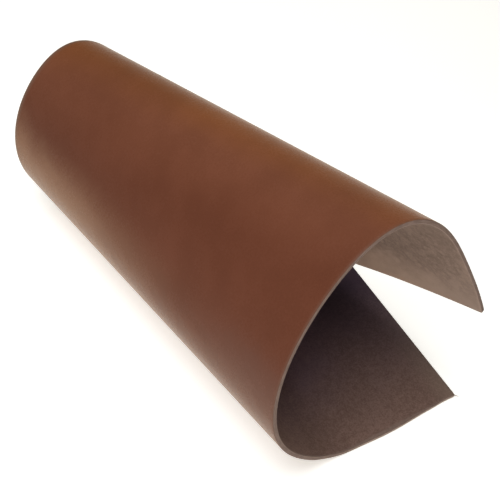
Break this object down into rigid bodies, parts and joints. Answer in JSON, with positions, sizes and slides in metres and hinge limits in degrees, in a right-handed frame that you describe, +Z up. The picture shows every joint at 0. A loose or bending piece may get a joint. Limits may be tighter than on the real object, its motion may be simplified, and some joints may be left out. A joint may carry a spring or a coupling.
{
  "type": "curled leather hide panel",
  "caption": "Rectangular panel of thick leather, curled grain side out into an open tapering tube that lies on its flat lower flap.",
  "frame": {"origin": "middle of the panel's box, on the surface that its lower flap rests on", "axes": "+Z up, +Y along the tube from its wide mouth to its narrow end, +X towards the side where the curl is open"},
  "size_m": [0.2304, 0.3262, 0.2203],
  "materials": {
    "leather": "smooth satin grain side in warm red-brown, bare suede flesh side and cut edge"
  },
  "bodies": {
    "root": {"hide": "leather"}
  },
  "joints": []
}
